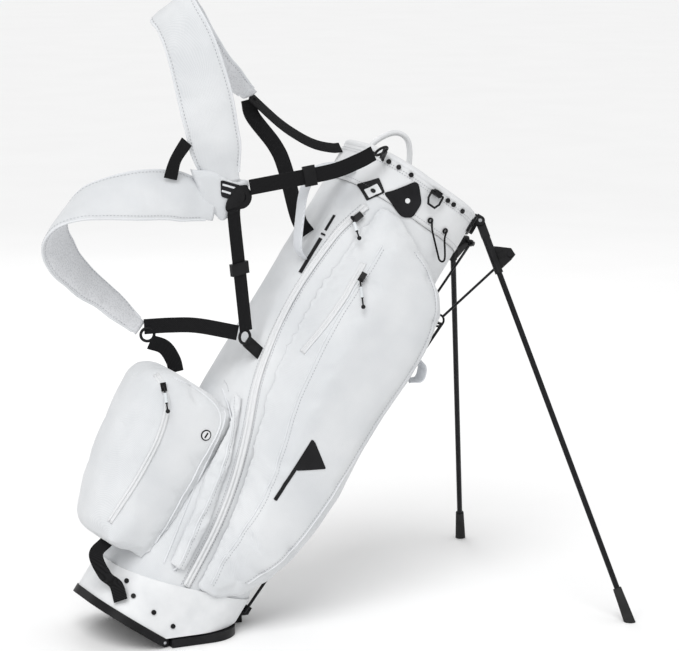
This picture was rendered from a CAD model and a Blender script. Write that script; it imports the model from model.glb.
import bpy
import bmesh
import math
from mathutils import Matrix, Vector, noise
from mathutils.bvhtree import BVHTree


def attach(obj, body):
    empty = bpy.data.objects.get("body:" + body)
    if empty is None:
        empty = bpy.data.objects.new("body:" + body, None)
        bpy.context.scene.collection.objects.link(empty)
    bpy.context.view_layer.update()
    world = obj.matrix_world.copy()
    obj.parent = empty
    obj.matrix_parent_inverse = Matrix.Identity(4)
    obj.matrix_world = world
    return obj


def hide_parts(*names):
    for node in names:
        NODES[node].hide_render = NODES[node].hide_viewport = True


# Looks of a lightweight golf stand bag, built round its CAD frame.
# Points written as (x, y, z) in millimetres are in the bag's own leaning frame: origin on
# the base hinge pin, X to the leg side, Y to the far side, Z up the bag. Part frame points
# are in metres, with Z straight up from the floor.

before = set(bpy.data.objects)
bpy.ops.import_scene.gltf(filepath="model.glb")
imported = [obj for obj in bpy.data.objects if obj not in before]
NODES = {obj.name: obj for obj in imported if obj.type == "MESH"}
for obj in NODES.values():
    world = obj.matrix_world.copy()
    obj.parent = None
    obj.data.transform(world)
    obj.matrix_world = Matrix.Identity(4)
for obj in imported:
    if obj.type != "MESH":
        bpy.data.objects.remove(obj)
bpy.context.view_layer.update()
LEAN = math.radians(34.5)
BAG = Matrix.Translation((-0.065, 0.0, 0.007)) @ Matrix.Rotation(LEAN, 4, "Y")
BAG_INV = BAG.inverted()
BAG_TURN = BAG.to_3x3()

# The rounded tube of the bag: half depth, half width and corner radius in millimetres.
HALF_DEPTH = 117.0
HALF_WIDTH = 105.0
CORNER = 80.0
CUFF_LOW = 799.0
CUFF_HIGH = 869.0
RIM_Z = 865.0
RIM_RADIUS = 7.6


def at(x, y, z):
    """Bag frame millimetres to part frame metres."""
    return BAG @ Vector((x / 1000, y / 1000, z / 1000))


def back(p):
    """Part frame metres to bag frame millimetres."""
    return (BAG_INV @ p) * 1000


def link(obj):
    """Put an object in the scene."""
    bpy.context.collection.objects.link(obj)


# ---------------------------------------------------------------- camera, light, floor

LAMP_AIM = Vector((0.2, 0, 0.5))
cam_data = bpy.data.cameras.new("camera")
cam_data.lens = 143.2
cam_data.sensor_width = 36.0
cam_data.clip_end = 60.0
cam = bpy.data.objects.new("camera", cam_data)
link(cam)
eye = Vector((-1.6182, -4.0107, 1.3071))
aim = Vector((0.2867, -0.017, 0.4871))
cam.location = eye
cam.rotation_euler = (aim - eye).to_track_quat("-Z", "Y").to_euler()
bpy.context.scene.camera = cam

# White surroundings: dimmer as a light than as the camera sees them.
world = bpy.data.worlds.new("studio")
bpy.context.scene.world = world
world.use_nodes = True
sky = world.node_tree
backdrop = sky.nodes["Background"]
backdrop.inputs["Color"].default_value = (1.0, 1.0, 1.0, 1.0)
ray = sky.nodes.new("ShaderNodeLightPath")
seen = sky.nodes.new("ShaderNodeMapRange")
seen.inputs["To Min"].default_value = 0.60
seen.inputs["To Max"].default_value = 0.97
sky.links.new(ray.outputs["Is Camera Ray"], seen.inputs["Value"])
sky.links.new(seen.outputs["Result"], backdrop.inputs["Strength"])
bpy.context.scene.view_settings.view_transform = "Standard"


def area_light(name, where, size, power):
    """Large soft lamp aimed at the middle of the bag."""
    data = bpy.data.lights.new(name, "AREA")
    data.shape = "RECTANGLE"
    data.size = size[0]
    data.size_y = size[1]
    data.energy = power
    lamp = bpy.data.objects.new(name, data)
    lamp.location = where
    lamp.rotation_euler = (LAMP_AIM - Vector(where)).to_track_quat("-Z", "Y").to_euler()
    link(lamp)


sun = bpy.data.lights.new("sun", "SUN")
sun.energy = 1.55
sun.angle = 0.6
sun_lamp = bpy.data.objects.new("sun", sun)
sun_lamp.rotation_euler = Vector((1.5, 2.2, -3.4)).to_track_quat("-Z", "Y").to_euler()
link(sun_lamp)
area_light("key", (-2.4, -2.0, 2.0), (1.0, 1.0), 16)
area_light("fill", (3.0, -2.2, 1.6), (2.0, 2.0), 8)
area_light("rim", (0.8, 3.0, 2.4), (1.6, 1.6), 18)


# ---------------------------------------------------------------- materials

def nodes_of(name, color, rough):
    """New material with a shader and its node tree."""
    mat = bpy.data.materials.new(name)
    mat.use_nodes = True
    tree = mat.node_tree
    shader = tree.nodes["Principled BSDF"]
    shader.inputs["Base Color"].default_value = (*color, 1.0)
    shader.inputs["Roughness"].default_value = rough
    return mat, tree, shader


def coords(tree, scale=(1, 1, 1), turn=(0.0, -LEAN, 0.0)):
    """Object coordinates turned into the bag's lean."""
    tex = tree.nodes.new("ShaderNodeTexCoord")
    mapping = tree.nodes.new("ShaderNodeMapping")
    mapping.inputs["Rotation"].default_value = turn
    mapping.inputs["Scale"].default_value = scale
    tree.links.new(tex.outputs["Object"], mapping.inputs["Vector"])
    return mapping.outputs["Vector"]


def speckle(tree, vector, scale, detail=3.0):
    """Noise value."""
    node = tree.nodes.new("ShaderNodeTexNoise")
    node.inputs["Scale"].default_value = scale
    node.inputs["Detail"].default_value = detail
    tree.links.new(vector, node.inputs["Vector"])
    return node.outputs["Fac"]


def wave(tree, vector, scale, direction, distortion=0.0):
    """Band pattern value."""
    node = tree.nodes.new("ShaderNodeTexWave")
    node.bands_direction = direction
    node.inputs["Scale"].default_value = scale
    node.inputs["Distortion"].default_value = distortion
    tree.links.new(vector, node.inputs["Vector"])
    return node.outputs["Fac"]


def mixed(tree, a, b, kind="MULTIPLY"):
    """Two values, multiplied unless another sum is named."""
    node = tree.nodes.new("ShaderNodeMath")
    node.operation = kind
    for socket, value in zip(node.inputs, (a, b)):
        if isinstance(value, float):
            socket.default_value = value
        else:
            tree.links.new(value, socket)
    return node.outputs[0]


def ramp(tree, value, low, high, start=0.3, end=0.7):
    """Colour between two tones."""
    node = tree.nodes.new("ShaderNodeValToRGB")
    node.color_ramp.elements[0].position = start
    node.color_ramp.elements[1].position = end
    node.color_ramp.elements[0].color = (*low, 1.0)
    node.color_ramp.elements[1].color = (*high, 1.0)
    tree.links.new(value, node.inputs["Fac"])
    return node.outputs["Color"]


def bump(tree, shader, height, depth, strength=1.0, under=None):
    """Surface relief of a given depth in metres."""
    node = tree.nodes.new("ShaderNodeBump")
    node.inputs["Strength"].default_value = strength
    node.inputs["Distance"].default_value = depth
    tree.links.new(height, node.inputs["Height"])
    if under is not None:
        tree.links.new(under, node.inputs["Normal"])
    tree.links.new(node.outputs["Normal"], shader.inputs["Normal"])
    return node.outputs["Normal"]


def twill(name, low, high, rough=0.78, pitch=900.0, soft=0.0012):
    """Fine woven cloth: diagonal twill, slight tone change and soft rumples."""
    mat, tree, shader = nodes_of(name, high, rough)
    shader.inputs["Sheen Weight"].default_value = 0.25
    shader.inputs["Sheen Roughness"].default_value = 0.5
    vec = coords(tree)
    warp = wave(tree, vec, pitch / 3.0, "DIAGONAL", 0.4)
    weft = wave(tree, vec, pitch / 2.2, "Z", 0.3)
    weave = mixed(tree, warp, weft)
    tone = speckle(tree, vec, 9.0, 5.0)
    fine = mixed(tree, mixed(tree, weave, 0.25), mixed(tree, tone, 0.75), "ADD")
    tree.links.new(ramp(tree, fine, low, high), shader.inputs["Base Color"])
    folds = speckle(tree, vec, 22.0, 4.0)
    first = bump(tree, shader, folds, soft, 0.6)
    bump(tree, shader, weave, 0.00025, 0.5, under=first)
    return mat


def ribbed(name, low, high, rough=0.6, sheen=0.2):
    """Woven webbing with cross ribs."""
    mat, tree, shader = nodes_of(name, high, rough)
    shader.inputs["Sheen Weight"].default_value = sheen
    shader.inputs["Specular IOR Level"].default_value = 0.12
    vec = coords(tree)
    ribs = wave(tree, vec, 260.0, "DIAGONAL", 0.6)
    fine = speckle(tree, vec, 900.0, 2.0)
    both = mixed(tree, ribs, mixed(tree, fine, 0.6), "ADD")
    tree.links.new(ramp(tree, both, low, high, 0.2, 0.9), shader.inputs["Base Color"])
    bump(tree, shader, both, 0.0004, 0.8)
    return mat


def moulded(name, low, high, rough=0.45, grain=700.0, gloss=0.18):
    """Injection moulded plastic with fine grain and rubbed tone."""
    mat, tree, shader = nodes_of(name, high, rough)
    shader.inputs["Specular IOR Level"].default_value = gloss
    vec = coords(tree)
    tone = speckle(tree, vec, 30.0, 4.0)
    tree.links.new(ramp(tree, tone, low, high), shader.inputs["Base Color"])
    rough_map = mixed(tree, mixed(tree, tone, 0.25), rough - 0.12, "ADD")
    tree.links.new(rough_map, shader.inputs["Roughness"])
    bump(tree, shader, speckle(tree, vec, grain, 2.0), 0.00015, 0.5)
    return mat


def metal(name, low, high, rough=0.3, metallic=1.0):
    """Metal with drawn grain."""
    mat, tree, shader = nodes_of(name, high, rough)
    shader.inputs["Metallic"].default_value = metallic
    shader.inputs["Specular IOR Level"].default_value = 0.3
    vec = coords(tree, (1, 1, 0.05), (0, 0, 0))
    grain = speckle(tree, vec, 500.0, 3.0)
    tree.links.new(ramp(tree, grain, low, high), shader.inputs["Base Color"])
    tree.links.new(mixed(tree, mixed(tree, grain, 0.2), rough - 0.08, "ADD"),
                   shader.inputs["Roughness"])
    bump(tree, shader, grain, 0.00005, 0.4)
    return mat


def mesh_cloth(name, low, high):
    """Open spacer mesh used on the underside of pads."""
    mat, tree, shader = nodes_of(name, high, 0.8)
    vec = coords(tree)
    cells = tree.nodes.new("ShaderNodeTexVoronoi")
    cells.inputs["Scale"].default_value = 320.0
    tree.links.new(vec, cells.inputs["Vector"])
    tree.links.new(ramp(tree, cells.outputs["Distance"], low, high, 0.15, 0.5),
                   shader.inputs["Base Color"])
    bump(tree, shader, cells.outputs["Distance"], 0.0006, 0.7)
    return mat


WHITE = twill("white_twill", (0.59, 0.607, 0.626), (0.735, 0.745, 0.755))
SMOOTH = twill("white_smooth", (0.66, 0.672, 0.685), (0.76, 0.767, 0.775), 0.6, 1400.0, 0.0005)
GREY_WEB = ribbed("grey_webbing", (0.55, 0.57, 0.60), (0.72, 0.74, 0.77))
BLACK_WEB = ribbed("black_webbing", (0.002, 0.002, 0.0022), (0.009, 0.009, 0.010), 0.7, 0.02)
BLACK = moulded("black_moulded", (0.004, 0.004, 0.0045), (0.011, 0.011, 0.012))
WHITE_PLASTIC = moulded("white_moulded", (0.66, 0.672, 0.685), (0.74, 0.75, 0.76), 0.42, 500.0, 0.4)
RUBBER = moulded("foot_rubber", (0.012, 0.012, 0.012), (0.028, 0.028, 0.028), 0.75, 900.0)
ANODISED = metal("black_anodised", (0.006, 0.006, 0.007), (0.016, 0.016, 0.018), 0.34, 0.5)
STEEL = metal("satin_steel", (0.38, 0.39, 0.41), (0.58, 0.59, 0.61), 0.3)
LINING = mesh_cloth("pale_mesh", (0.56, 0.57, 0.59), (0.68, 0.69, 0.71))
DARK = twill("dark_lining", (0.018, 0.018, 0.02), (0.04, 0.04, 0.044), 0.85, 700.0)
PRINT = moulded("black_print", (0.006, 0.006, 0.007), (0.012, 0.012, 0.013), 0.5, 1200.0)
PILE = moulded("black_pile", (0.008, 0.008, 0.009), (0.018, 0.018, 0.02), 0.9, 1500.0)
THREAD = ribbed("grey_thread", (0.22, 0.23, 0.25), (0.36, 0.37, 0.39))
STRIPE = ribbed("white_stripe", (0.60, 0.62, 0.64), (0.74, 0.75, 0.77))
PIPING = twill("white_piping", (0.66, 0.68, 0.70), (0.76, 0.77, 0.79), 0.6, 1500.0, 0.0003)
PALE = moulded("pale_sleeve", (0.55, 0.58, 0.60), (0.75, 0.78, 0.80), 0.3, 300.0)

floor_mat, floor_tree, floor_shader = nodes_of("pale_floor", (0.93, 0.93, 0.93), 0.9)
floor_tone = speckle(floor_tree, coords(floor_tree, (1, 1, 1), (0, 0, 0)), 3.0, 2.0)
floor_tree.links.new(ramp(floor_tree, floor_tone, (0.925, 0.925, 0.925), (0.94, 0.94, 0.94)),
                     floor_shader.inputs["Base Color"])
bpy.ops.mesh.primitive_circle_add(vertices=96, radius=24.0, fill_type="NGON",
                                  location=(0, 0, -0.0005))
floor = bpy.context.object
floor.name = "floor"
floor.data.materials.append(floor_mat)

BY_NODE = {
    "base_collar": WHITE_PLASTIC, "base_tray": BLACK, "base_flap": BLACK,
    "base_hinge_pin": STEEL, "divider_grid": DARK,
    "rivets_and_tab": BLACK, "bungee_cord": BLACK_WEB, "apparel_slider": BLACK,
    "valuables_slider": BLACK, "apparel_pull": BLACK, "valuables_pull": BLACK,
    "ball_pull": BLACK, "lift_handle": WHITE_PLASTIC, "strap_hub": BLACK,
    "near_adjuster": BLACK, "mid_adjuster": BLACK, "strap_rings": BLACK,
    "towel_ring": BLACK, "leg_mount": BLACK, "leg_hinge_pins": STEEL,
    "near_knuckle": BLACK, "far_knuckle": BLACK, "near_leg_tube": ANODISED,
    "far_leg_tube": ANODISED, "near_foot": RUBBER, "far_foot": RUBBER,
    "near_link": ANODISED, "far_link": ANODISED, "actuator_foot": BLACK,
    "actuator_guide": BLACK, "actuator_wire": ANODISED,
}
for label, mat in BY_NODE.items():
    data = NODES[label].data
    data.materials.clear()
    data.materials.append(mat)


# ---------------------------------------------------------------- mesh helpers

def new_piece(name, verts, faces, mats, body="bag", smooth=True):
    """Mesh object from part frame points, riding on a body."""
    mesh = bpy.data.meshes.new(name)
    mesh.from_pydata([tuple(v) for v in verts], [], faces)
    mesh.validate()
    bm = bmesh.new()
    bm.from_mesh(mesh)
    bmesh.ops.recalc_face_normals(bm, faces=bm.faces)
    bm.to_mesh(mesh)
    bm.free()
    for mat in mats:
        mesh.materials.append(mat)
    if smooth:
        mesh.polygons.foreach_set("use_smooth", [True] * len(mesh.polygons))
    obj = bpy.data.objects.new(name, mesh)
    link(obj)
    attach(obj, body)
    return obj


def spline(points, count):
    """Smooth evenly spread points through hand chosen ones."""
    pts = [Vector(p) for p in points]
    ext = [pts[0] * 2 - pts[1]] + pts + [pts[-1] * 2 - pts[-2]]
    dense = []
    for i in range(1, len(ext) - 2):
        p0, p1, p2, p3 = ext[i - 1], ext[i], ext[i + 1], ext[i + 2]
        for k in range(24):
            t = k / 24
            a = p1 * 2
            b = (p2 - p0) * t
            c = (p0 * 2 - p1 * 5 + p2 * 4 - p3) * t * t
            d = (p1 * 3 - p0 - p2 * 3 + p3) * t * t * t
            dense.append((a + b + c + d) * 0.5)
    dense.append(pts[-1])
    run = [0.0]
    for a, b in zip(dense[:-1], dense[1:]):
        run.append(run[-1] + (b - a).length)
    out = []
    j = 0
    for k in range(count):
        want = run[-1] * k / (count - 1)
        while j < len(run) - 2 and run[j + 1] < want:
            j += 1
        span = max(run[j + 1] - run[j], 1e-9)
        out.append(dense[j].lerp(dense[j + 1], min(max((want - run[j]) / span, 0), 1)))
    return out


def numbers(values, count):
    """Spread a short list of numbers over more stations."""
    out = []
    for k in range(count):
        t = k / (count - 1) * (len(values) - 1)
        i = min(int(t), len(values) - 2)
        f = t - i
        f = f * f * (3 - 2 * f)
        out.append(values[i] * (1 - f) + values[i + 1] * f)
    return out


def tube_line(name, points, r, mat, body="bag"):
    """Thin round line such as piping, through part frame points."""
    curve = bpy.data.curves.new(name, "CURVE")
    curve.dimensions = "3D"
    curve.bevel_depth = r
    curve.bevel_resolution = 3
    curve.use_fill_caps = True
    line = curve.splines.new("POLY")
    line.points.add(len(points) - 1)
    for p, co in zip(line.points, points):
        p.co = (*co, 1.0)
    curve.materials.append(mat)
    temp = bpy.data.objects.new(name + "_line", curve)
    link(temp)
    mesh = bpy.data.meshes.new_from_object(temp.evaluated_get(
        bpy.context.evaluated_depsgraph_get()))
    bpy.data.objects.remove(temp)
    mesh.name = name
    mesh.polygons.foreach_set("use_smooth", [True] * len(mesh.polygons))
    obj = bpy.data.objects.new(name, mesh)
    link(obj)
    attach(obj, body)
    return obj


def skin_point(x, side, grow=0.0):
    """Point and outward normal on the rounded tube wall at bag X."""
    r = CORNER + grow
    cx = HALF_DEPTH - CORNER
    cy = HALF_WIDTH - CORNER
    over = max(0.0, abs(x) - cx)
    nx = math.copysign(min(over / r, 1.0), x)
    ny = math.sqrt(max(1.0 - nx * nx, 0.0))
    return (x, side * (cy + r * ny)), (nx, side * ny)


def ring_points(grow, count):
    """Points and normals once round the tube outline, evenly spread."""
    r = CORNER + grow
    cx = HALF_DEPTH - CORNER
    cy = HALF_WIDTH - CORNER
    corners = ((cx, cy, 0), (-cx, cy, 90), (-cx, -cy, 180), (cx, -cy, 270))
    raw = []
    for px, py, start in corners:
        for k in range(17):
            ang = math.radians(start + 90 * k / 16)
            raw.append((Vector((px + r * math.cos(ang), py + r * math.sin(ang), 0)),
                        Vector((math.cos(ang), math.sin(ang), 0))))
    raw.append(raw[0])
    run = [0.0]
    for a, b in zip(raw[:-1], raw[1:]):
        run.append(run[-1] + (b[0] - a[0]).length)
    out = []
    j = 0
    for k in range(count):
        want = run[-1] * k / count
        while run[j + 1] < want:
            j += 1
        span = max(run[j + 1] - run[j], 1e-9)
        t = (want - run[j]) / span
        out.append((raw[j][0].lerp(raw[j + 1][0], t), raw[j][1].lerp(raw[j + 1][1], t)))
    return out


def shell(name, low, high, outer, inner, count, rows, mats, rumple=0.0):
    """Closed sleeve round the bag between two height functions of bag X."""
    loop = ring_points(0.0, count)
    verts = []
    faces = []
    levels = []
    for r in range(rows + 1):
        levels.append((r / rows, outer))
    for r in range(rows, -1, -1):
        levels.append((r / rows, inner))
    for t, grow in levels:
        for p, n in loop:
            z0 = low(p.x)
            z1 = high(p.x)
            z = z0 + (z1 - z0) * t
            w = 0.0
            if rumple and grow == outer:
                w = rumple * noise.noise(Vector((p.x * 0.018, p.y * 0.018, z * 0.010)))
                w += rumple * 0.5 * noise.noise(Vector((p.x * 0.05, p.y * 0.05, z * 0.03)))
            q = p + n * (grow + w)
            verts.append(at(q.x, q.y, z))
    total = len(levels)
    for r in range(total):
        nxt = (r + 1) % total
        for c in range(count):
            d = (c + 1) % count
            faces.append((r * count + c, r * count + d, nxt * count + d, nxt * count + c))
    obj = new_piece(name, verts, faces, mats)
    if len(mats) > 1:
        for poly in obj.data.polygons:
            if poly.index // count > rows:
                poly.material_index = 1
    return obj


# Cloth nearer to the tube wall than this many millimetres stays where it is.
PIN_GAP = 5.0
CLOTH_FRAMES = 20


def clamp_soft(name, node_names, voxel, pressure, cap, shrink=0.003, rounds=8):
    """Padded piece: remeshed copy of CAD solids, swelled as cloth and held at the tube.

    No point moves further than cap, and rounds is how often the remesh is smoothed first.
    """
    bm = bmesh.new()
    for node in node_names:
        bm.from_mesh(NODES[node].data)
    mesh = bpy.data.meshes.new(name)
    bm.to_mesh(mesh)
    bm.free()
    obj = bpy.data.objects.new(name, mesh)
    link(obj)
    bpy.context.view_layer.objects.active = obj
    obj.select_set(True)
    remesh = obj.modifiers.new("remesh", "REMESH")
    remesh.mode = "VOXEL"
    remesh.voxel_size = voxel
    soften = obj.modifiers.new("soften", "SMOOTH")
    soften.factor = 0.5
    soften.iterations = rounds
    bake(obj)
    rest = [v.co.copy() for v in obj.data.vertices]
    pins = []
    for v in obj.data.vertices:
        p = back(v.co)
        cx = max(abs(p.x) - (HALF_DEPTH - CORNER), 0.0)
        cy = max(abs(p.y) - (HALF_WIDTH - CORNER), 0.0)
        gap = math.hypot(cx, cy) - CORNER
        if gap < PIN_GAP:
            pins.append(v.index)
    group = obj.vertex_groups.new(name="pin")
    group.add(pins, 1.0, "REPLACE")
    held = set(pins)
    for v in obj.data.vertices:
        if v.index not in held:
            v.co = v.co - v.normal * shrink
    cloth = obj.modifiers.new("cloth", "CLOTH")
    settings = cloth.settings
    settings.quality = 5
    settings.mass = 0.25
    settings.tension_stiffness = 12
    settings.compression_stiffness = 6
    settings.shear_stiffness = 4
    settings.bending_stiffness = 0.6
    settings.shrink_min = -0.035
    settings.use_pressure = True
    settings.uniform_pressure_force = pressure
    settings.vertex_group_mass = "pin"
    settings.effector_weights.gravity = 0
    cloth.point_cache.frame_start = 1
    cloth.point_cache.frame_end = CLOTH_FRAMES
    for f in range(1, CLOTH_FRAMES + 1):
        bpy.context.scene.frame_set(f)
        bpy.context.view_layer.update()
    bake(obj)
    bpy.context.scene.frame_set(1)
    for v, old in zip(obj.data.vertices, rest):
        move = v.co - old
        if move.length > cap:
            v.co = old + move.normalized() * cap
    again = obj.modifiers.new("again", "SMOOTH")
    again.factor = 0.4
    again.iterations = 2
    sub = obj.modifiers.new("sub", "SUBSURF")
    sub.levels = 1
    bake(obj)
    obj.data.materials.clear()
    obj.data.materials.append(WHITE)
    obj.data.polygons.foreach_set("use_smooth", [True] * len(obj.data.polygons))
    obj.select_set(False)
    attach(obj, "bag")
    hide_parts(*node_names)
    return obj


def bake(obj):
    """Turn the modified shape into the plain mesh of the object."""
    graph = bpy.context.evaluated_depsgraph_get()
    mesh = bpy.data.meshes.new_from_object(obj.evaluated_get(graph))
    obj.modifiers.clear()
    obj.data = mesh


def strap(name, points, sides, widths, thick, mats, stations=70, crown=0.5, rumple=0.0,
          ring=14, flip=False):
    """Flat band with rounded edges along a smooth path, in bag millimetres.

    Returns the piece, its two edge lines and its rows of (point, normal) pairs.
    """
    path = spline(points, stations)
    across = spline(sides, stations)
    wide = numbers(widths, stations)
    high = numbers(thick, stations)
    verts = []
    faces = []
    edge = []
    rows = [[] for _ in range(ring)]
    for i, p in enumerate(path):
        run = (path[min(i + 1, stations - 1)] - path[max(i - 1, 0)]).normalized()
        side = across[i] - run * across[i].dot(run)
        side.normalize()
        out = side.cross(run).normalized()
        for k in range(ring):
            ang = 2 * math.pi * k / ring
            c = math.cos(ang)
            s = math.sin(ang)
            u = math.copysign(abs(c) ** 0.35, c) * wide[i] / 2
            fall = 1.0 - crown * abs(2 * u / wide[i]) ** 4
            v = math.copysign(abs(s) ** 0.6, s) * high[i] / 2 * fall
            if rumple:
                spot = Vector((u * 0.03, i * 0.16, 3.1 if s > 0 else 9.7))
                v += rumple * noise.noise(spot) * (1 - abs(c) ** 3)
            verts.append(at(*(p + side * u + out * v)))
            up = BAG_TURN @ (out * math.copysign(1.0, s))
            rows[k].append((verts[-1], up.normalized()))
        edge.append((at(*(p - side * (wide[i] / 2))), at(*(p + side * (wide[i] / 2)))))
    for i in range(stations - 1):
        for k in range(ring):
            n = (k + 1) % ring
            faces.append((i * ring + k, i * ring + n, (i + 1) * ring + n, (i + 1) * ring + k))
    faces.append(tuple(range(ring)))
    faces.append(tuple(range((stations - 1) * ring, stations * ring)))
    obj = new_piece(name, verts, faces, mats)
    if len(mats) > 1:
        for poly in obj.data.polygons[:(stations - 1) * ring]:
            if (poly.index % ring >= ring // 2) != flip:
                poly.material_index = 1
    return obj, edge, rows


# ---------------------------------------------------------------- bag skin

FLOOR = 7.0
WALL = 3.0
SLOPE = math.tan(LEAN)
GAP = 9.5 / math.cos(LEAN)
skin = shell("bag_skin", lambda x: max(FLOOR, GAP + x * SLOPE), lambda x: CUFF_LOW + 2.0, 0.0, -WALL,
             150, 90, [WHITE, DARK], 1.4)
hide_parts("spine_panel", "near_panel", "far_panel", "belly_panel")
cuff = shell("cuff_band", lambda x: CUFF_LOW, lambda x: CUFF_HIGH, 1.3, -WALL, 150, 12,
             [SMOOTH, DARK], 0.5)
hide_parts("top_cuff")
rim_verts = []
rim_faces = []
RIM_COUNT = 180
RIM_SIDES = 14
for i, (p, n) in enumerate(ring_points(-5.0, RIM_COUNT)):
    for k in range(RIM_SIDES):
        ang = 2 * math.pi * k / RIM_SIDES
        r = RIM_RADIUS + 0.35 * noise.noise(Vector((i * 0.2, k * 0.4, 0)))
        q = p + n * (r * math.cos(ang))
        rim_verts.append(at(q.x, q.y, RIM_Z + r * math.sin(ang)))
for i in range(RIM_COUNT):
    for k in range(RIM_SIDES):
        j = (i + 1) % RIM_COUNT
        m = (k + 1) % RIM_SIDES
        rim_faces.append((i * RIM_SIDES + k, i * RIM_SIDES + m, j * RIM_SIDES + m,
                          j * RIM_SIDES + k))
roll = new_piece("rim_roll", rim_verts, rim_faces, [SMOOTH])
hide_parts("cuff_rim")

# ---------------------------------------------------------------- padded pockets

near = clamp_soft("big_pocket", ["near_pocket"], voxel=0.0055, pressure=4.0, cap=0.004)
far = clamp_soft("far_side_pocket", ["far_pocket"], voxel=0.0065, pressure=4.0, cap=0.006)
ball = clamp_soft("spine_pocket", ["ball_pocket", "ball_pocket_lid", "ball_zip"], voxel=0.005,
                  pressure=4.0, cap=0.004)
sleeve = clamp_soft("slim_pocket", ["side_sleeve"], voxel=0.004, pressure=3.0, cap=0.005,
                    shrink=0.001, rounds=26)
yoke = clamp_soft("yoke", ["yoke_panel"], voxel=0.003, pressure=3.0, cap=0.003,
                  shrink=0.001)

# ---------------------------------------------------------------- shoulder straps

PAD_A = [(-322, -75, 676), (-377, -85, 724), (-437, -85, 780), (-491, -75, 828),
         (-525, -52, 856), (-529, -20, 869), (-468, 20, 863), (-394, 40, 847),
         (-308, 50, 837)]
SIDE_A = [(-49, 31, -61), (-49, 31, -61), (-47, 30, -62), (-42, 28, -65), (-33, 24, -68),
          (-20, 40, -64), (6, 59, -56), (8, 50, -42), (6, 40, -30)]
PAD_B = [(-316, -76, 639), (-390, -80, 613), (-452, -80, 572), (-500, -70, 527),
         (-513, -48, 485), (-487, -20, 453), (-417, 10, 433), (-355, 20, 427),
         (-277, 10, 415)]
SIDE_B = [(-56, 23, 56), (-20, 37, 68), (0, 50, 64), (25, 49, 53), (49, 44, 43),
          (47, 42, 38), (45, 41, 33), (33, 26, 28), (5, 7, 21)]
PAD_WIDE_A = [56, 80, 84, 82, 80, 76, 66, 54, 32]
PAD_WIDE_B = [54, 80, 82, 78, 76, 72, 64, 52, 28]
PAD_THICK = [12, 14, 14, 14, 13, 12, 12, 11, 6]
pad_a, edge_a, rows_a = strap("pad_upper", PAD_A, SIDE_A, PAD_WIDE_A, PAD_THICK,
                              [WHITE, LINING], stations=130, crown=0.62, rumple=2.2,
                              ring=26, flip=True)
pad_b, edge_b, rows_b = strap("pad_lower", PAD_B, SIDE_B, PAD_WIDE_B, PAD_THICK,
                              [WHITE, LINING], stations=130, crown=0.62, rumple=2.2,
                              ring=26)
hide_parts("shoulder_pad_upper")
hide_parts("shoulder_pad_lower")
for label, edge in (("pad_upper", edge_a), ("pad_lower", edge_b)):
    for k, word in ((0, "left"), (1, "right")):
        tube_line(label + "_piping_" + word, [e[k] for e in edge[3:-2]], 0.0021, PIPING)

WEB_WIDE = 25
WEB_THICK = 1.9
WEBS = {
    "web_near_top": ([(-283, -88.5, 693), (-231, -97, 741), (-180, -106, 789),
                      (-152, -110, 826), (-136, -108, 850)], (-0.6, 0.1, 0.8)),
    "web_mid": ([(-287, -89, 650), (-274, -82, 636), (-213, -78.5, 567), (-152, -75, 498)],
                (0.7, 0.2, 0.6)),
    "web_far_top": ([(-307, 51, 836), (-237, 55, 828), (-193, 55, 828), (-161, 50, 832),
                     (-135, 43, 842), (-122, 41, 851)], (0.1, 0.7, 0.7)),
    "web_cross": ([(-304, 54, 830), (-280, 58, 812), (-229, 36, 790), (-203, 10, 764),
                   (-150, -16, 706), (-122, -22, 692)], (0.45, -0.31, 0.84)),
    "web_lower_loop": ([(-274, 6, 420), (-243, -10, 444), (-210, -30, 466), (-157, -62, 489)],
                       (-0.4, 0.3, 0.8)),
    "web_base": ([(-254, 0, 404), (-229, -4, 409), (-206, -8, 399), (-191, -10, 385)],
                 (0.26, -0.23, 0.94)),
    "web_foot": ([(-158, -46, 92), (-164, -50, 66), (-140, -64, 46), (-118, -78, 40),
                  (-102, -88.5, 23)], (0.5, -0.6, 0.2)),
}
for label, (points, side) in WEBS.items():
    band, _, _ = strap(label + "_strap", points, [side] * len(points), [WEB_WIDE, WEB_WIDE],
                       [WEB_THICK, WEB_THICK], [BLACK_WEB], stations=60, crown=0.1, ring=12)
    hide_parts(label)
band, _, _ = strap("elastic_strap", [(-413, -80, 698), (-416, -87, 663), (-405, -82, 634)],
                   [(-1, 0, 0.1)] * 3, [22, 20, 22], [1.8, 1.8], [BLACK_WEB], stations=30,
                   crown=0.1)
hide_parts("elastic_band")
GRAB = [(-120, -44, 653), (-140, -52, 662), (-166, -60, 700), (-186, -62, 742),
        (-184, -56, 782), (-152, -46, 812), (-122, -38, 819)]
band, _, _ = strap("grab_strap", GRAB, [(0.15, -1, 0)] * 7, [26, 26], [4.2, 4.2], [GREY_WEB],
                   stations=80, crown=0.3)
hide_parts("grab_handle")
SIDE_TAB = [(133, -98, 611), (146, -104, 603), (150, -106, 585), (136, -102, 573)]
band, _, _ = strap("side_tab", SIDE_TAB, [(0.3, -0.9, 0)] * 4, [22, 22], [2.5, 2.5],
                   [GREY_WEB], stations=30, crown=0.2)
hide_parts("side_loop")

LIFT = [(-46, 110, 846), (-44, 113, 872), (-37, 113.5, 908), (-14, 114, 938), (14, 114, 940),
        (38, 113.5, 910), (47, 113, 872), (48, 110, 846)]
lift = tube_line("lift_loop", [at(*p) for p in spline(LIFT, 70)], 0.0050, WHITE_PLASTIC)
for k, x in enumerate((-46, 48)):
    foot_line = [at(x, 108.6, z) for z in (838, 845, 852, 859, 866)]
    tube_line("lift_foot_" + str(k), foot_line, 0.0062, WHITE_PLASTIC)
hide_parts("lift_handle")

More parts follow.
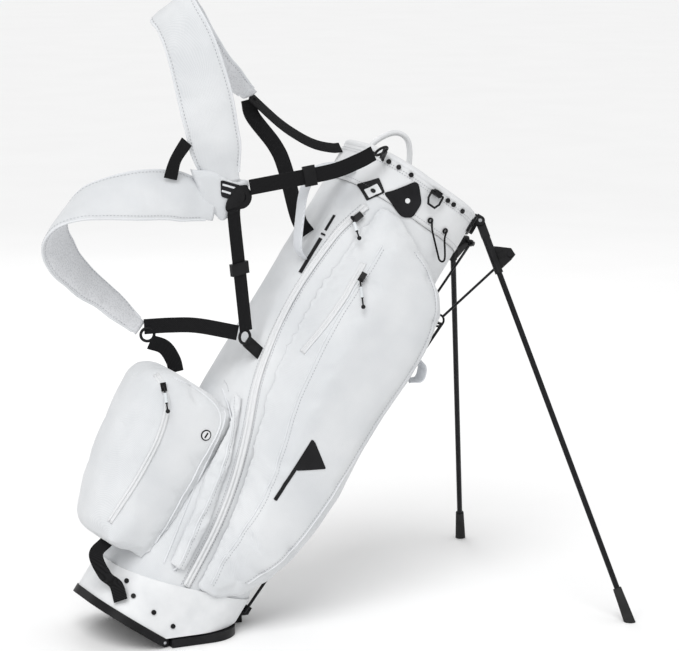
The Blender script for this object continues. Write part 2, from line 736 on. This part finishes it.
# Elastic cord laced between two eyelets on the cuff.
LACE = [(16, -113.6, 813), (20, -115, 806), (24, -116, 800), (42, -117, 784), (59, -118, 769),
        (62.5, -118, 766), (69.5, -118, 766), (72, -117, 772), (63, -115.5, 786),
        (53, -114, 800), (51, -113.2, 807), (50, -112.6, 813)]
lace_curve = bpy.data.curves.new("laced_cord", "CURVE")
lace_curve.dimensions = "3D"
lace_curve.bevel_depth = 0.0016
lace_curve.bevel_resolution = 3
lace_line = lace_curve.splines.new("NURBS")
lace_line.points.add(len(LACE) - 1)
for point, co in zip(lace_line.points, LACE):
    point.co = (*at(*co), 1.0)
lace_line.order_u = 3
lace_line.use_endpoint_u = True
lace_curve.materials.append(BLACK_WEB)
lace = bpy.data.objects.new("laced_cord", lace_curve)
link(lace)
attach(lace, "bag")
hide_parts("bungee_cord")

# ---------------------------------------------------------------- lines laid on the cloth

def surface(*objs):
    """One search tree over several pieces."""
    verts = []
    faces = []
    for obj in objs:
        start = len(verts)
        verts.extend(v.co.copy() for v in obj.data.vertices)
        faces.extend(tuple(start + i for i in poly.vertices) for poly in obj.data.polygons)
    return BVHTree.FromPolygons(verts, faces)


CLOTH = surface(skin, cuff, near, far, ball, sleeve)

# Lines of sight onto the cloth start this many millimetres out from the bag's middle.
OUTSIDE = 300


def on_cloth(point, toward, lift, tree=CLOTH):
    """Where a line of sight from a bag point meets the cloth, lifted off it."""
    start = at(*point)
    way = (BAG_TURN @ Vector(toward)).normalized()
    hit, normal, _, _ = tree.ray_cast(start, way)
    if hit is None:
        return None
    if normal.dot(way) > 0:
        normal = -normal
    return hit + normal * lift, normal


def laid(points, side, count, lift):
    """Hand chosen (x, z) points dropped on the near (-1) or far (+1) cloth."""
    line = spline([(x, 0, z) for x, z in points], count)
    out = []
    for p in line:
        found = on_cloth((p.x, side * OUTSIDE, p.z), (0, -side, 0), lift)
        if found:
            out.append(found)
    return out


def eased(points, times=2):
    """Line with small jumps smoothed out."""
    pts = [p.copy() for p in points]
    for _ in range(times):
        inner = [(a + b * 2 + c) / 4 for a, b, c in zip(pts[:-2], pts[1:-1], pts[2:])]
        pts = [pts[0]] + inner + [pts[-1]]
    return pts


def softened(points, reach, steps=5):
    """Outline with its corners rounded off."""
    out = []
    total = len(points)
    for i, (x, z) in enumerate(points):
        here = Vector((x, z))
        before = Vector(points[i - 1])
        after = Vector(points[(i + 1) % total])
        a = here + (before - here).normalized() * min(reach, (before - here).length * 0.45)
        b = here + (after - here).normalized() * min(reach, (after - here).length * 0.45)
        for k in range(steps + 1):
            t = k / steps
            q = a * (1 - t) * (1 - t) + here * 2 * t * (1 - t) + b * t * t
            out.append((q.x, q.y))
    return out


def patch_on(name, outline, side, mat, lift, thick, level=3, tree=CLOTH):
    """Thin patch cut to an outline of (x, z) points and pressed on the cloth."""
    bm = bmesh.new()
    face = bm.faces.new([bm.verts.new((x, 0, z)) for x, z in outline])
    bmesh.ops.triangulate(bm, faces=[face])
    for _ in range(level):
        bmesh.ops.subdivide_edges(bm, edges=bm.edges[:], cuts=1, use_grid_fill=True)
    bmesh.ops.triangulate(bm, faces=bm.faces[:])
    low = []
    high = []
    for v in bm.verts:
        found = on_cloth((v.co.x, side * OUTSIDE, v.co.z), (0, -side, 0), lift, tree)
        if found is None:
            raise RuntimeError(name + " misses the cloth")
        low.append(found[0] - found[1] * 0.0008)
        high.append(found[0] + found[1] * thick)
    bm.verts.index_update()
    total = len(low)
    faces = []
    for f in bm.faces:
        loop = [v.index for v in f.verts]
        faces.append(tuple(i + total for i in loop))
        faces.append(tuple(reversed(loop)))
    for e in bm.edges:
        if len(e.link_faces) == 1:
            a, b = e.verts[0].index, e.verts[1].index
            faces.append((a, b, b + total, a + total))
    bm.free()
    return new_piece(name, low + high, faces, [mat], smooth=False)


def round_spot(x, z, r, count=28):
    """Outline of a disc."""
    return [(x + r * math.cos(2 * math.pi * k / count), z + r * math.sin(2 * math.pi * k / count))
            for k in range(count)]


# Half width of a stitch, and the gap in a line that thread does not cross, in metres.
THREAD_R = 0.00042
THREAD_JUMP = 0.02


def stitches(name, spots, length=0.0034, pitch=0.0052):
    """Row of small thread stitches along (point, normal) pairs."""
    verts = []
    faces = []
    spent = 0.0
    for (a, na), (b, _) in zip(spots[:-1], spots[1:]):
        seg = (b - a).length
        if seg > THREAD_JUMP or seg < 1e-6:
            continue
        run = (b - a).normalized()
        while spent < seg:
            mid = a + run * spent
            side = na.cross(run).normalized()
            s = len(verts)
            for u, w, h in ((-0.5, 0, 0), (-0.3, 1, 0), (0.3, 1, 0), (0.5, 0, 0), (0.3, -1, 0),
                            (-0.3, -1, 0), (-0.3, 0, 1), (0.3, 0, 1)):
                verts.append(mid + run * (u * length) + side * (w * THREAD_R) + na * (h * THREAD_R))
            faces += [(s, s + 1, s + 6), (s, s + 6, s + 5), (s + 1, s + 2, s + 7, s + 6),
                      (s + 5, s + 6, s + 7, s + 4), (s + 2, s + 3, s + 7), (s + 3, s + 4, s + 7),
                      (s, s + 5, s + 4, s + 3, s + 2, s + 1)]
            spent += pitch
        spent -= seg
    return new_piece(name, verts, faces, [THREAD], smooth=False)


def welt(name, spots, width, height, mat, groove=True):
    """Raised coated zip with a fine slit down its middle, along (point, normal) pairs."""
    pts = eased([p for p, n in spots], 3)
    normals = [n for p, n in spots]
    shape = ((-0.5, 0.0), (-0.46, 0.8), (-0.12, 1.0), (-0.05, 0.45), (0.05, 0.45),
             (0.12, 1.0), (0.46, 0.8), (0.5, 0.0))
    if not groove:
        shape = ((-0.5, 0.0), (-0.46, 0.8), (-0.2, 1.0), (0.2, 1.0), (0.46, 0.8), (0.5, 0.0))
    verts = []
    faces = []
    m = len(shape)
    for i, p in enumerate(pts):
        run = (pts[min(i + 1, len(pts) - 1)] - pts[max(i - 1, 0)]).normalized()
        n = (normals[max(i - 2, 0)] + normals[i] + normals[min(i + 2, len(pts) - 1)]).normalized()
        side = n.cross(run).normalized()
        n = run.cross(side).normalized()
        for u, h in shape:
            verts.append(p + side * (u * width) + n * (h * height - 0.0006))
    for i in range(len(pts) - 1):
        for k in range(m):
            j = (k + 1) % m
            faces.append((i * m + k, i * m + j, (i + 1) * m + j, (i + 1) * m + k))
    faces.append(tuple(range(m)))
    faces.append(tuple(range((len(pts) - 1) * m, len(pts) * m)))
    return new_piece(name, verts, faces, [mat])


NEAR_EDGE = [(-24, 96), (-26, 130), (-28, 165), (-33, 215), (-46, 280), (-66, 350),
             (-91, 430), (-102, 500), (-107, 570), (-107, 630), (-104, 690), (-101, 722),
             (-95, 750), (-88, 776)]
edge_spots = []
for p in spline([(x, 0, z) for x, z in NEAR_EDGE], 110):
    (px, py), (nx, ny) = skin_point(p.x, -1, 1.6)
    n = (BAG_TURN @ Vector((nx, ny, 0))).normalized()
    edge_spots.append((at(px, py, p.z), n))
zip_a = welt("clothing_zip", edge_spots, 0.012, 0.0036, SMOOTH)
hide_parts("apparel_zip")
val_spots = laid([(-58, 690), (-60, 600), (-66, 515)], -1, 50, 0.0002)
zip_b = welt("straight_zip", val_spots, 0.011, 0.0032, SMOOTH)
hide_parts("valuables_zip")

ball_spots = laid([(-262, 374), (-236, 357), (-212, 328), (-197, 280), (-191, 225), (-188, 175),
                   (-185, 122)], -1, 60, 0.0002)
welt("ball_pocket_zip", ball_spots, 0.010, 0.003, SMOOTH)

# Seams sewn over the big pocket, the tube and the pocket on the spine.
SEAMS = {
    "seam_pocket_left": ([(8, 120), (2, 165), (2, 215), (-2, 280), (-16, 350), (-38, 430),
                          (-48, 500), (-54, 570), (-54, 630), (-50, 690), (-46, 730)], 0.0013),
    "seam_tube_a": ([(-125, 516), (-134, 449), (-117, 402), (-85, 317), (-70, 222), (-56, 108)],
                    0.0015),
    "seam_tube_b": ([(-148, 432), (-130, 414), (-114, 366), (-98, 286), (-86, 196), (-74, 110)],
                    0.0015),
    "seam_pocket_right": ([(60, 150), (88, 215), (98, 300), (104, 400), (106, 500), (110, 600),
                           (98, 680), (66, 728), (16, 752)], 0.0014),
    "seam_ball_edge": ([(-98, 130), (-102, 200), (-108, 280), (-114, 340), (-130, 366),
                        (-170, 376), (-220, 372)], 0.0015),
}
for label, (points, r) in SEAMS.items():
    spots = [p for p, n in laid(points, -1, 110, 0.0002)]
    tube_line(label, eased(spots), r, PIPING)
for label, source, shift in (("stitch_pocket_left", "seam_pocket_left", 5.0),
                             ("stitch_pocket_right", "seam_pocket_right", -5.0),
                             ("stitch_tube_a", "seam_tube_a", 4.5)):
    points = [(x + shift, z) for x, z in SEAMS[source][0]]
    stitches(label, laid(points, -1, 160, 0.0003))
for label, gap in (("stitch_zip_left", -0.0085), ("stitch_zip_right", 0.0085)):
    moved = []
    for (a, na), (b, _) in zip(edge_spots[:-1], edge_spots[1:]):
        moved.append((a + na.cross((b - a).normalized()) * gap, na))
    found = []
    for q, n in moved:
        hit, normal, _, _ = CLOTH.ray_cast(q + n * 0.03, -n)
        if hit:
            found.append((hit + normal * 0.0003, normal))
    stitches(label, found)

# Rows of thread round the cuff, and along the edges of the shoulder pads.
for label, z in (("stitch_cuff_low", 806.0), ("stitch_cuff_high", 851.0),
                 ("stitch_cuff_top", 855.5)):
    spots = []
    for p, n in ring_points(2.5, 320):
        spots.append((at(p.x, p.y, z), (BAG_TURN @ n).normalized()))
    stitches(label, spots + spots[:1], 0.0028, 0.0048)
STITCHED_ROWS = (3, 10, 16, 23)
for label, rows in (("pad_upper", rows_a), ("pad_lower", rows_b)):
    for k in STITCHED_ROWS:
        spots = [(p + n * 0.0003, n) for p, n in rows[k][6:-5]]
        stitches(label + "_stitch_" + str(k), spots, 0.0034, 0.0058)

# Patches: a pile patch with a button, a framed label, a round badge and a plain flag.
glove = softened([(-78, 808), (-70, 816), (-44, 852), (-36, 851), (-14, 828), (-15, 800),
                  (-30, 791), (-42, 793)], 7)
glove_piece = patch_on("glove_patch", glove, -1, PILE, 0.0004, 0.0016)
patch_on("glove_button", round_spot(-39, 818, 4.2), -1, WHITE_PLASTIC, 0.0021, 0.0012,
         1)
label_out = softened([(-110, 800), (-93, 826), (-76, 810), (-91, 783)], 2)
label_in = softened([(-100, 797), (-91, 816), (-80, 808), (-90, 789)], 1.5)
patch_on("label_frame", label_out, -1, PRINT, 0.0004, 0.0010)
patch_on("label_face", label_in, -1, SMOOTH, 0.0016, 0.0005, 2)
patch_on("label_dot", round_spot(-90.5, 802.5, 3.4), -1, PRINT, 0.0022, 0.0004, 1)
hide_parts("cuff_patches")
patch_on("badge_ring", round_spot(-129, 320, 9.0), -1, PRINT, 0.0004, 0.0006)
patch_on("badge_face", round_spot(-129, 320, 7.0), -1, SMOOTH, 0.0012, 0.0004,
         2)
patch_on("badge_bar", softened([(-130.3, 315), (-130.3, 325), (-127.7, 325), (-127.7, 315)], 1),
         -1, PRINT, 0.0017, 0.0003, 1)
flag_piece = patch_on("flag_pole", softened([(10, 288), (16, 288), (16, 402), (10, 402)], 2),
                      -1, PRINT, 0.0004, 0.0006, 4)
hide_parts("flag_emblem")
patch_on("flag_cloth", softened([(16, 346), (60, 374), (16, 402)], 3), -1, PRINT, 0.0004, 0.0006,
         4)
YOKE_CLOTH = surface(yoke)
patch_on("yoke_patch", softened([(-332, 677), (-296, 688), (-281, 666), (-316, 655)], 5), -1,
         PILE, 0.0004, 0.0012, 3, YOKE_CLOTH)
for k, shift in enumerate((0.0, 9.0)):
    stripe = [(-326 + shift * 0.5, 674 - shift), (-299 + shift * 0.6, 682 - shift),
              (-298 + shift * 0.6, 679 - shift), (-325 + shift * 0.5, 671 - shift)]
    patch_on("yoke_stripe_" + str(k), softened(stripe, 1), -1, STRIPE, 0.0018, 0.0003,
             2, YOKE_CLOTH)
patch_on("hub_flap", softened([(-305, 655), (-299, 687), (-287, 695), (-272, 671), (-286, 641),
                               (-299, 641)], 6), -1, BLACK, 0.0019, 0.0009, 3,
         YOKE_CLOTH)
for label, z0, z1, width in (("side_bar_long", 628, 694, 0.0075), ("side_bar_thin", 700, 703, 0.010),
                             ("side_bar_short", 709, 738, 0.0055)):
    spots = []
    for k in range(24):
        (px, py), (nx, ny) = skin_point(-113.0, -1, 1.2)
        spots.append((at(px, py, z0 + (z1 - z0) * k / 23),
                      (BAG_TURN @ Vector((nx, ny, 0))).normalized()))
    bar = welt(label, spots, width, 0.0012, PRINT, False)

# Pale sleeves on the zip pulls: where the pull starts, its direction and its length. The
# sleeve covers a part of that length.
SLEEVE_START = 0.27
SLEEVE_SPAN = 0.40
PULLS = {
    "apparel_pull": ((-102.6, -93.7, 746.0), (0.42, -0.66, -0.62), 40.0),
    "valuables_pull": ((-60.3, -149.2, 662.0), (0.53, -0.30, -0.79), 44.0),
    "ball_pull": ((-233.2, -91.9, 351.0), (0.50, -0.42, -0.76), 40.0),
}
for label, (start, along, length) in PULLS.items():
    run = Vector(along).normalized()
    first = Vector(start) + run * (length * SLEEVE_START)
    pts = []
    for k in range(9):
        q = first + run * (length * SLEEVE_SPAN * k / 8)
        pts.append(at(q.x, q.y, q.z))
    tube_line(label + "_sleeve", pts, 0.0029, PALE, label)
